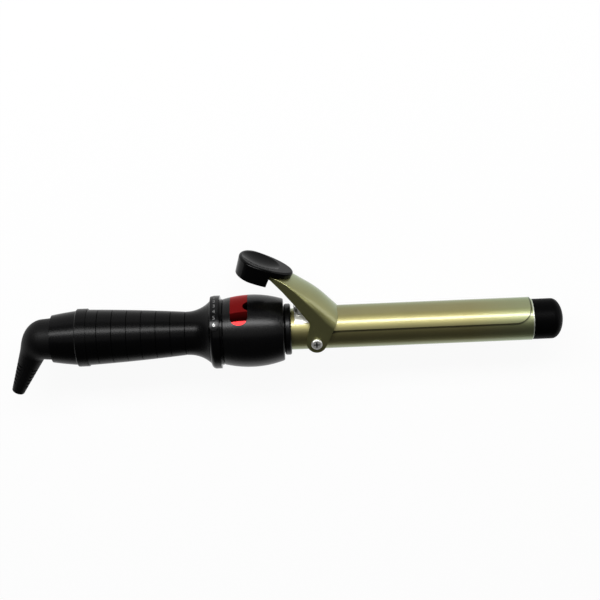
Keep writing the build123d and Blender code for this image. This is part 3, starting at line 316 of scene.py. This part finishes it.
@dataclass(frozen=True)
class Finish:
    """A surface with slight changes of tone, a grain and a gloss."""

    name: str
    colour: Colour
    roughness: float
    tone_shift: float = 0.12
    tone_scale: float = 60.0
    tone_detail: float = 4.0
    tone_rough: float = 0.5
    roughness_shift: float = 0.05
    grain_scale: float = 2500.0
    grain_detail: float = 3.0
    grain_rough: float = 0.6
    grain_depth: float = 0.02 * MM
    grain_strength: float = 0.15
    grain_stretch: Triple = (1.0, 1.0, 1.0)
    metallic: float = 0.0
    coat: float = 0.0
    coat_roughness: float = 0.1
    specular: float = 0.5
    edge_tint: Colour = (1.0, 1.0, 1.0)

    def toned_colour(self, sheet: NodeSheet) -> Socket:
        """Add the colour with its slight changes of tone.

        Args:
            sheet: the node tree to fill.

        Returns:
            The colour to feed to the shader.
        """
        place = sheet.object_coordinates()
        tone = sheet.noise(place, self.tone_scale, self.tone_detail, self.tone_rough)
        dark = scaled(self.colour, 1.0 - self.tone_shift)
        light = scaled(self.colour, 1.0 + self.tone_shift)
        return sheet.tint(sheet.spread(tone, 0.0, 1.0), dark, light)

    def shader(self, sheet: NodeSheet) -> bpy.types.Node:
        """Add the shader with this finish's pattern.

        Args:
            sheet: the node tree to fill.

        Returns:
            The shader node.
        """
        shader = sheet.add("ShaderNodeBsdfPrincipled")
        sheet.join(self.toned_colour(sheet), shader.inputs["Base Color"])
        place = sheet.object_coordinates(self.grain_stretch)
        grain = sheet.noise(place, self.grain_scale, self.grain_detail, self.grain_rough)
        smooth, dull = self.roughness - self.roughness_shift, self.roughness + self.roughness_shift
        sheet.join(sheet.spread(grain, smooth, dull), shader.inputs["Roughness"])
        normal = sheet.bump(grain, self.grain_depth, self.grain_strength)
        sheet.join(normal, shader.inputs["Normal"])
        shader.inputs["Metallic"].default_value = self.metallic
        shader.inputs["Coat Weight"].default_value = self.coat
        shader.inputs["Coat Roughness"].default_value = self.coat_roughness
        shader.inputs["Specular IOR Level"].default_value = self.specular
        shader.inputs["Specular Tint"].default_value = (*self.edge_tint, 1.0)
        return shader

    @lru_cache(maxsize=None)
    def material(self) -> bpy.types.Material:
        """Make the finished material, once for each finish.

        Returns:
            The material.
        """
        sheet = NodeSheet(self.name)
        shader = self.shader(sheet)
        sheet.join(shader.outputs["BSDF"], sheet.output.inputs["Surface"])
        return sheet.material


@dataclass(frozen=True)
class BarrelFinish(Finish):
    """The barrel's coating, painted lighter and greener towards the tip as a painted reflection of
    greenish light there, ending in a bare metal band at its end.
    """

    # painted reflection: the lighter, greener colour near the tip stands in for greenish light
    # reflected there
    cool: Colour = (0.25, 0.272, 0.14)
    painted_reflection_start: float = 106.0 * MM
    painted_reflection_end: float = 142.0 * MM
    bare: Colour = (0.62, 0.64, 0.56)
    bare_start: float = 143.6 * MM
    bare_end: float = 144.0 * MM

    def toned_colour(self, sheet: NodeSheet) -> Socket:
        """Add the coating's colour along the barrel, painted lighter and greener towards the tip
        as a painted reflection.

        Args:
            sheet: the node tree to fill.

        Returns:
            The colour to feed to the shader.
        """
        station = sheet.place_parts()[0]
        shift = TOOL.station
        colour = super().toned_colour(sheet)
        # blends in the painted tip reflection, then the bare metal band at the end
        for tone, start, end in (
            (self.cool, self.painted_reflection_start, self.painted_reflection_end),
            (self.bare, self.bare_start, self.bare_end),
        ):
            share = sheet.spread(station, 0.0, 1.0, start + shift, end + shift)
            colour = sheet.blend(share, colour, tone)
        return colour


@dataclass(frozen=True)
class SpoonFinish(BarrelFinish):
    """The coating on the spoon, with a painted shadow line where its edge turns in to the barrel,
    standing in for the shade in the gap between them.
    """

    # painted shadow: dark colour of the shade line in the gap under the spoon's edge
    painted_shadow_line: Colour = (0.03, 0.028, 0.011)
    painted_shadow_line_width: float = 0.8 * MM
    corner_station: float = 133.0 * MM
    corner_height: float = 12.3 * MM
    corner_length: float = 10.0 * MM
    corner_drop: float = 9.0 * MM

    def toned_colour(self, sheet: NodeSheet) -> Socket:
        """Add the coating's colour and paint a shadow line along the spoon's rounded edge.

        Args:
            sheet: the node tree to fill.

        Returns:
            The colour to feed to the shader.
        """
        station, height, _ = sheet.place_parts()
        start = TOOL.point(self.corner_station, self.corner_height)
        along = sheet.spread(station, 0.0, 2.0, start.x, start.x + 2 * self.corner_length)
        down = sheet.spread(height, 0.0, 2.0, start.y, start.y - 2 * self.corner_drop)
        width = self.painted_shadow_line_width / self.corner_drop
        # mask of the painted shadow line along the spoon's edge and rounded corner
        share = sheet.spread(sheet.reach(along, down), 0.0, 1.0, 1.0 - width, 1.0 - width / 2)
        return sheet.blend(share, super().toned_colour(sheet), self.painted_shadow_line)


@dataclass(frozen=True)
class ScrewFinish(Finish):
    """Bright screws, with painted shade in the cross recess of their heads."""

    # painted shade: dark colour for the shade inside the cross recess
    cross: Colour = (0.02, 0.02, 0.018)
    cross_reach: float = 1.85 * MM
    cross_depth: float = 0.85 * MM
    pivot_station: float = 13.9 * MM
    pivot_height: float = -3.4 * MM
    head_side: float = 16.45 * MM
    reach_blur: float = 1.05
    depth_blur: float = 0.01 * MM

    def toned_colour(self, sheet: NodeSheet) -> Socket:
        """Add the steel's colour and paint shade into the cross recess.

        Args:
            sheet: the node tree to fill.

        Returns:
            The colour to feed to the shader.
        """
        station, height, side = sheet.place_parts()
        pivot = TOOL.point(self.pivot_station, self.pivot_height)
        away = sheet.reach(
            sheet.sum_up("SUBTRACT", station, pivot.x), sheet.sum_up("SUBTRACT", height, pivot.y)
        )
        near = sheet.spread(away, 1.0, 0.0, self.cross_reach, self.cross_reach * self.reach_blur)
        out = sheet.sum_up("ABSOLUTE", sheet.sum_up("SUBTRACT", side, pivot.z))
        floor = self.head_side - self.cross_depth
        middle = self.head_side - self.cross_depth / 2
        above = sheet.spread(out, 0.0, 1.0, floor - self.depth_blur, floor)
        below = sheet.spread(out, 1.0, 0.0, middle, self.head_side)
        # mask of the painted shade inside the cross recess
        share = sheet.sum_up("MULTIPLY", near, sheet.sum_up("MULTIPLY", above, below))
        return sheet.blend(share, super().toned_colour(sheet), self.cross)


@dataclass(frozen=True)
class ClearFinish(Finish):
    """A see-through moulding."""

    transmission: float = 0.8
    index: float = 1.49

    def shader(self, sheet: NodeSheet) -> bpy.types.Node:
        """Add the shader and let light through it.

        Args:
            sheet: the node tree to fill.

        Returns:
            The shader node.
        """
        shader = super().shader(sheet)
        shader.inputs["Transmission Weight"].default_value = self.transmission
        shader.inputs["IOR"].default_value = self.index
        return shader


COATING: dict[str, object] = {
    "colour": (0.25, 0.228, 0.096),
    "roughness": 0.46,
    "tone_shift": 0.05,
    "tone_scale": 35.0,
    "roughness_shift": 0.03,
    "grain_scale": 5200.0,
    "grain_depth": 0.006 * MM,
    "grain_strength": 0.12,
    "metallic": 1.0,
    "coat": 0.8,
    "coat_roughness": 0.16,
    "edge_tint": (0.74, 1.0, 0.76),
}

BLACK: Colour = (0.001, 0.001, 0.0011)

POLISHED: dict[str, object] = {
    "colour": (0.85, 0.85, 0.81),
    "roughness": 0.34,
    "tone_shift": 0.04,
    "roughness_shift": 0.04,
    "grain_scale": 1800.0,
    "grain_depth": 0.004 * MM,
    "metallic": 0.85,
}


@dataclass(frozen=True)
class Finishes:
    """Every finish on the iron."""

    coating: Finish = BarrelFinish("champagne_lacquer_painted_tip_reflection", **COATING)
    spoon: Finish = SpoonFinish("spoon_lacquer_painted_shade_and_reflection", **COATING)
    lever: Finish = BarrelFinish("lever_lacquer", **{**COATING, "colour": (0.24, 0.237, 0.1)})
    handle: Finish = Finish(
        "handle_black",
        BLACK,
        0.27,
        tone_shift=0.2,
        roughness_shift=0.06,
        grain_scale=3000.0,
        grain_depth=0.02 * MM,
        grain_strength=0.2,
        specular=0.1,
    )
    housing: Finish = Finish(
        "housing_black",
        BLACK,
        0.28,
        tone_shift=0.2,
        grain_scale=3000.0,
        grain_depth=0.015 * MM,
        grain_strength=0.15,
        specular=0.2,
    )
    cap: Finish = Finish("cap_black", BLACK, 0.42, grain_strength=0.1, specular=0.02)
    gloss: Finish = Finish(
        "gloss_black",
        (0.002, 0.002, 0.0022),
        0.2,
        roughness_shift=0.03,
        grain_scale=900.0,
        grain_strength=0.03,
        specular=0.16,
    )
    dial: Finish = Finish("dial_black", BLACK, 0.2, grain_strength=0.08, specular=0.12)
    rest: Finish = Finish("rest_black", BLACK, 0.15, grain_strength=0.1, specular=0.09)
    boot: Finish = Finish(
        "boot_moulding",
        (0.0015, 0.0015, 0.0016),
        0.48,
        grain_scale=2200.0,
        grain_strength=0.25,
        specular=0.1,
    )
    window: Finish = ClearFinish(
        "window_red",
        (0.23, 0.0012, 0.0016),
        0.06,
        tone_shift=0.04,
        roughness_shift=0.01,
        grain_scale=400.0,
        grain_strength=0.005,
        metallic=0.7,
        coat=0.15,
        coat_roughness=0.05,
        edge_tint=(1.0, 0.06, 0.06),
        transmission=1.0,
        index=1.1,
    )
    bright: Finish = Finish("polished_steel", **POLISHED)
    screws: Finish = ScrewFinish("screw_steel_painted_recess_shade", **POLISHED)
    steel: Finish = Finish("drawn_steel", (0.55, 0.55, 0.56), 0.3, metallic=1.0)
    brass: Finish = Finish("turned_brass", (0.72, 0.5, 0.2), 0.25, metallic=1.0)
    aluminium: Finish = Finish(
        "drawn_aluminium", (0.74, 0.75, 0.77), 0.35, metallic=1.0, grain_stretch=(0.02, 1.0, 1.0)
    )
    ceramic: Finish = Finish("white_ceramic", (0.8, 0.78, 0.73), 0.55, grain_strength=0.3)
    grey: Finish = Finish("grey_moulding", (0.12, 0.12, 0.125), 0.45)
    dark: Finish = Finish("dark_moulding", (0.015, 0.015, 0.016), 0.5, specular=0.2)
    board: Finish = Finish("board_lacquer", (0.02, 0.16, 0.05), 0.25, coat=0.4)
    lamp: Finish = ClearFinish("lamp_red", (0.12, 0.004, 0.003), 0.1, transmission=0.5)
    sleeve: Finish = Finish(
        "woven_sleeve",
        (0.7, 0.67, 0.6),
        0.7,
        grain_scale=1600.0,
        grain_depth=0.08 * MM,
        grain_strength=0.5,
    )
    # painted highlight: white ink for the number where the scale's highlight falls
    print_painted_highlight: Finish = Finish("print_painted_highlight", (0.85, 0.85, 0.83), 0.4, grain_strength=0.05)
    print_grey: Finish = Finish("print_grey", (0.1, 0.1, 0.1), 0.45, grain_strength=0.05)


FINISHES = Finishes()


def clear_selection() -> None:
    """Leave nothing selected."""
    bpy.ops.object.select_all(action="DESELECT")


def pick(piece: bpy.types.Object) -> None:
    """Select one piece and make it active.

    Args:
        piece: the piece to select.
    """
    clear_selection()
    piece.select_set(True)
    bpy.context.view_layer.objects.active = piece


def paint(piece: bpy.types.Object, finish: Finish) -> None:
    """Give a piece one finish."""
    piece.data.materials.clear()
    piece.data.materials.append(finish.material())


def merged_copy(
    node: bpy.types.Object, name: str, angle: float = 35.0, weld: float = 0.002 * MM
) -> bpy.types.Object:
    """Copy a node of the frame as one joined, smooth-shaded mesh.

    Args:
        node: the node to copy.
        name: the new piece's name.
        angle: edges sharper than this stay sharp.
        weld: points nearer than this are joined.

    Returns:
        The new piece.
    """
    pick(node)
    bpy.ops.object.duplicate()
    piece = bpy.context.view_layer.objects.active
    piece.name = name
    piece.parent = None
    piece.matrix_world = Matrix.Identity(4)
    for key in list(piece.keys()):
        del piece[key]
    pick(piece)
    bpy.ops.object.mode_set(mode="EDIT")
    bpy.ops.mesh.customdata_custom_splitnormals_clear()
    bpy.ops.mesh.select_all(action="SELECT")
    bpy.ops.mesh.remove_doubles(threshold=weld)
    bpy.ops.object.mode_set(mode="OBJECT")
    bpy.ops.object.shade_smooth_by_angle(angle=math.radians(angle))
    return piece


@dataclass
class SubAssembly:
    """A group of nodes on one body, with the finish of each."""

    body: Body
    finishes: dict[str, Finish]
    pieces: list[bpy.types.Object] = field(default_factory=list)

    def dress(self, nodes: Nodes) -> None:
        """Paint this group's nodes.

        Args:
            nodes: the frame's nodes by name.
        """
        for name, finish in self.finishes.items():
            paint(nodes[name], finish)
            LOG.info("dressed %s on %s with %s", name, self.body.value, finish.name)

    def build(self, nodes: Nodes) -> None:
        """Make this group's own pieces; a plain group has none."""


@dataclass
class Barrel(SubAssembly):
    """Heating barrel, cool tip and what is inside them."""

    body: Body = Body.IRON
    finishes: dict[str, Finish] = field(
        default_factory=lambda: {
            "barrel_tube": FINISHES.coating,
            "tip_cap": FINISHES.cap,
            "heater_plate": FINISHES.ceramic,
            "heat_spreaders": FINISHES.aluminium,
            "temperature_sensor": FINISHES.aluminium,
            "thermal_fuse": FINISHES.aluminium,
            "heater_leads": FINISHES.sleeve,
            "barrel_insulator": FINISHES.ceramic,
            "pivot_bosses": FINISHES.brass,
            "pivot_screws": FINISHES.screws,
            "spring_rivet": FINISHES.bright,
        }
    )


@dataclass
class Clip(SubAssembly):
    """Spoon, lever and thumb rest."""

    body: Body = Body.CLIP
    finishes: dict[str, Finish] = field(
        default_factory=lambda: {
            "clip_spoon": FINISHES.spoon,
            "clip_lever": FINISHES.lever,
            "thumb_rest": FINISHES.rest,
            "thumb_rest_screw": FINISHES.steel,
        }
    )


@dataclass
class ClipSpring(SubAssembly):
    """Strip spring that bends between the barrel and the lever."""

    body: Body = Body.IRON
    finishes: dict[str, Finish] = field(default_factory=lambda: {"clip_spring": FINISHES.bright})
    foot_height: float = 13.4 * MM
    leg_height: float = 22.9 * MM
    eye_station: float = 3.8 * MM

    def build(self, nodes: Nodes) -> None:
        """Copy the strip as one smooth-shaded piece in place of the original.

        Args:
            nodes: the frame's nodes by name.
        """
        strip = merged_copy(nodes["clip_spring"], "spring_strip")
        paint(strip, FINISHES.bright)
        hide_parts("clip_spring")
        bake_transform(strip)
        self.pieces.append(strip)


@dataclass
class Housing(SubAssembly):
    """Collar, front housing, window and the control board behind it."""

    body: Body = Body.IRON
    finishes: dict[str, Finish] = field(
        default_factory=lambda: {
            "front_collar": FINISHES.housing,
            "front_housing": FINISHES.housing,
            "indicator_lens": FINISHES.window,
            "inner_chassis": FINISHES.dark,
            "control_board": FINISHES.board,
            "board_screws": FINISHES.steel,
            "indicator_led": FINISHES.lamp,
            "track_board": FINISHES.board,
        }
    )


@dataclass
class Dial(SubAssembly):
    """Turning ring with its scale and printed numbers."""

    body: Body = Body.DIAL
    finishes: dict[str, Finish] = field(
        default_factory=lambda: {
            "dial_ring": FINISHES.dial,
            "dial_scale": FINISHES.gloss,
            "dial_peg": FINISHES.steel,
            "dial_wiper": FINISHES.brass,
        }
    )
    scale_station: float = -46.45 * MM
    scale_radius: float = 22.2 * MM
    first_angle: float = -13.0
    angle_step: float = 11.0
    numbers: tuple[str, ...] = ("0", "1", "2", "3", "4", "5", "6")
    number_size: float = 3.6 * MM
    print_thickness: float = 0.05 * MM
    print_lift: float = 0.2 * MM

    def print_number(
        self, text: str, angle: float, finish: Finish, target: bpy.types.Object
    ) -> None:
        """Print one number on the scale.

        Args:
            text: the number.
            angle: its place round the axis, from the lever side towards the top.
            finish: its ink.
            target: the surface it is printed on.
        """
        clear_selection()
        bpy.ops.object.text_add(location=(0, 0, 0))
        label = bpy.context.view_layer.objects.active
        label.name = f"dial_number_{text}"
        label.data.body = text
        label.data.size = self.number_size
        label.data.align_x = "CENTER"
        label.data.align_y = "CENTER"
        bpy.ops.object.convert(target="MESH")
        label = bpy.context.view_layer.objects.active
        turn = math.radians(angle)
        outward = Vector((0, math.cos(turn), math.sin(turn)))
        along = Vector((1, 0, 0))
        upward = outward.cross(along)
        radius = self.scale_radius + self.print_lift
        place = TOOL.point(self.scale_station, 0) + outward * radius
        turned = Matrix((along, upward, outward)).transposed().to_4x4()
        label.matrix_world = Matrix.Translation(place) @ turned
        pick(label)
        bpy.ops.object.transform_apply(location=True, rotation=True, scale=True)
        wrap = label.modifiers.new("wrap", "SHRINKWRAP")
        wrap.target = target
        wrap.wrap_method = "NEAREST_SURFACEPOINT"
        wrap.wrap_mode = "ABOVE_SURFACE"
        wrap.offset = self.print_thickness / 2
        bpy.ops.object.modifier_apply(modifier=wrap.name)
        thick = label.modifiers.new("thick", "SOLIDIFY")
        thick.thickness = self.print_thickness
        thick.offset = 0.0
        bpy.ops.object.modifier_apply(modifier=thick.name)
        paint(label, finish)
        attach(label, self.body.value)
        self.pieces.append(label)

    def build(self, nodes: Nodes) -> None:
        """Print the numbers round the scale, the last one in white as a painted highlight.

        Args:
            nodes: the frame's nodes by name.
        """
        for index, text in enumerate(self.numbers):
            angle = self.first_angle + index * self.angle_step
            # painted highlight: the last number is white where the highlight falls; the others are
            # grey print
            last = index == len(self.numbers) - 1
            ink = FINISHES.print_painted_highlight if last else FINISHES.print_grey
            self.print_number(text, angle, ink, nodes["dial_scale"])


@dataclass
class Handle(SubAssembly):
    """Grip, band, rear sleeve and the fixed half of the swivel."""

    body: Body = Body.IRON
    finishes: dict[str, Finish] = field(
        default_factory=lambda: {
            "grip": FINISHES.handle,
            "rear_band": FINISHES.handle,
            "rear_sleeve": FINISHES.handle,
            "brush_block": FINISHES.grey,
            "contact_brushes": FINISHES.brass,
            "supply_leads": FINISHES.sleeve,
        }
    )


@dataclass
class Swivel(SubAssembly):
    """Cord boot and the turning half of the swivel."""

    body: Body = Body.BOOT
    finishes: dict[str, Finish] = field(
        default_factory=lambda: {
            "cord_boot": FINISHES.boot,
            "swivel_stem": FINISHES.grey,
            "swivel_clip": FINISHES.steel,
            "slip_rings": FINISHES.brass,
        }
    )


@dataclass(frozen=True)
class Softbox:
    """A rectangular lamp that faces the iron."""

    name: str
    tilt: float
    distance: float
    length: float
    width: float
    power: float
    swing: float = 0.0

    def place(self, centre: Vector) -> None:
        """Hang the lamp over the iron.

        Args:
            centre: the point it faces.
        """
        lamp = bpy.data.lights.new(self.name, "AREA")
        lamp.shape = "RECTANGLE"
        lamp.size = self.length
        lamp.size_y = self.width
        lamp.energy = self.power
        holder = bpy.data.objects.new(self.name, lamp)
        holder.visible_camera = False
        bpy.context.scene.collection.objects.link(holder)
        tilt, swing = math.radians(self.tilt), math.radians(self.swing)
        over = Vector((0, math.sin(tilt), math.cos(tilt)))
        along = Vector((1, 0, 0))
        away = over * math.cos(swing) + along * math.sin(swing)
        right = along * math.cos(swing) - over * math.sin(swing)
        frame = Matrix((right, away.cross(right), away)).transposed().to_4x4()
        holder.matrix_world = Matrix.Translation(centre + away * self.distance) @ frame


SOFTBOXES: tuple[Softbox, ...] = (
    Softbox("key", tilt=51.0, distance=1.3, length=1.8, width=0.27, power=26.5, swing=-8.0),
    Softbox("fill", tilt=28.0, distance=1.8, length=2.8, width=1.2, power=4.6),
    Softbox("side", tilt=70.0, distance=1.3, length=1.3, width=0.6, power=5.0, swing=70.0),
)


@dataclass
class Studio:
    """Pale floor, soft lamps and the camera.

    The camera's sensor is in millimetres, and its focal length and aim are in pixels.
    """

    floor_half: float = 20.0
    floor_drop: float = 0.02 * MM
    floor_colour: Colour = (0.86, 0.86, 0.86)
    floor_glow: float = 0.94
    focal_pixels: float = 1372.0
    sensor_width: float = 36.0
    far_clip: float = 100.0
    zero_pixel: tuple[float, float] = (293.0, 328.9)
    zero_depth: float = 830.0 * MM
    lean: float = 24.7
    roll: float = 2.38
    dome: float = 0.04
    horizon: float = 0.3
    horizon_rise: float = 0.45

    def floor(self) -> None:
        """Lay a pale floor that keeps the iron's shadow."""
        clear_selection()
        place = (0, 0, -self.floor_drop)
        bpy.ops.mesh.primitive_plane_add(size=2 * self.floor_half, location=place)
        floor = bpy.context.view_layer.objects.active
        floor.name = "floor"
        sheet = NodeSheet("studio_floor")
        matte = sheet.add("ShaderNodeBsdfDiffuse")
        matte.inputs["Color"].default_value = (*self.floor_colour, 1.0)
        glow = sheet.add("ShaderNodeEmission")
        glow.inputs["Color"].default_value = (1.0, 1.0, 1.0, 1.0)
        mix = sheet.add("ShaderNodeMixShader")
        sheet.join(self.seen_directly(sheet), mix.inputs["Fac"])
        sheet.join(matte.outputs["BSDF"], mix.inputs[1])
        sheet.join(glow.outputs["Emission"], mix.inputs[2])
        sheet.join(mix.outputs["Shader"], sheet.output.inputs["Surface"])
        floor.data.materials.append(sheet.material)

    def seen_directly(self, sheet: NodeSheet) -> Socket:
        """Weigh the floor's own white for camera, mirror and glass rays.

        Args:
            sheet: the floor's node tree.

        Returns:
            The share of white.
        """
        rays = sheet.add("ShaderNodeLightPath").outputs
        mirrored = sheet.sum_up("MAXIMUM", rays["Is Camera Ray"], rays["Is Glossy Ray"])
        seen = sheet.sum_up("MAXIMUM", mirrored, rays["Is Transmission Ray"])
        return sheet.sum_up("MULTIPLY", seen, self.floor_glow)

    def world(self) -> None:
        """Set a dim dome with a pale band at the horizon."""
        world = bpy.data.worlds.new("studio")
        bpy.context.scene.world = world
        world.use_nodes = True
        tree = world.node_tree
        tree.nodes.clear()
        coordinates = tree.nodes.new("ShaderNodeTexCoord")
        split = tree.nodes.new("ShaderNodeSeparateXYZ")
        ramp = tree.nodes.new("ShaderNodeValToRGB")
        low, high = ramp.color_ramp.elements
        low.position, high.position = 0.0, self.horizon_rise
        low.color = (self.horizon, self.horizon, self.horizon, 1)
        high.color = (self.dome, self.dome, self.dome, 1)
        background = tree.nodes.new("ShaderNodeBackground")
        output = tree.nodes.new("ShaderNodeOutputWorld")
        tree.links.new(coordinates.outputs["Generated"], split.inputs["Vector"])
        tree.links.new(split.outputs["Z"], ramp.inputs["Fac"])
        tree.links.new(ramp.outputs["Color"], background.inputs["Color"])
        tree.links.new(background.outputs["Background"], output.inputs["Surface"])

    def lamps(self) -> None:
        """Hang the soft lamps."""
        for softbox in SOFTBOXES:
            softbox.place(TOOL.point(0, 0))

    def camera(self) -> None:
        """Place the camera at the photograph's viewing angle."""
        lean, roll = math.radians(self.lean), math.radians(self.roll)
        back = Vector((0, math.sin(lean), math.cos(lean)))
        rise = Vector((0, math.cos(lean), -math.sin(lean)))
        run = Vector((1, 0, 0))
        right = run * math.cos(roll) - rise * math.sin(roll)
        up = run * math.sin(roll) + rise * math.cos(roll)
        pixel = self.zero_depth / self.focal_pixels
        shift_right = (self.zero_pixel[0] - IMAGE_SIZE / 2) * pixel
        shift_up = (IMAGE_SIZE / 2 - self.zero_pixel[1]) * pixel
        place = TOOL.point(0, 0) - right * shift_right - up * shift_up + back * self.zero_depth
        data = bpy.data.cameras.new("photograph")
        data.sensor_width = self.sensor_width
        data.lens = self.sensor_width * self.focal_pixels / IMAGE_SIZE
        data.clip_end = self.far_clip
        holder = bpy.data.objects.new("photograph", data)
        bpy.context.scene.collection.objects.link(holder)
        turned = Matrix((right, up, back)).transposed().to_4x4()
        holder.matrix_world = Matrix.Translation(place) @ turned
        bpy.context.scene.camera = holder

    def build(self) -> None:
        """Set up the whole studio."""
        self.floor()
        self.world()
        self.lamps()
        self.camera()
        bpy.context.scene.view_settings.view_transform = "Standard"


def main() -> None:
    """Load the frame, build each sub-assembly and set up the studio."""
    logging.basicConfig(level=logging.INFO)
    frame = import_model()
    nodes: Nodes = frame["nodes"]
    for group in (Barrel(), Clip(), ClipSpring(), Housing(), Dial(), Handle(), Swivel()):
        group.dress(nodes)
        group.build(nodes)
        for piece in group.pieces:
            LOG.info("built %s", piece.name)
    Studio().build()


if __name__ == "__main__":
    main()
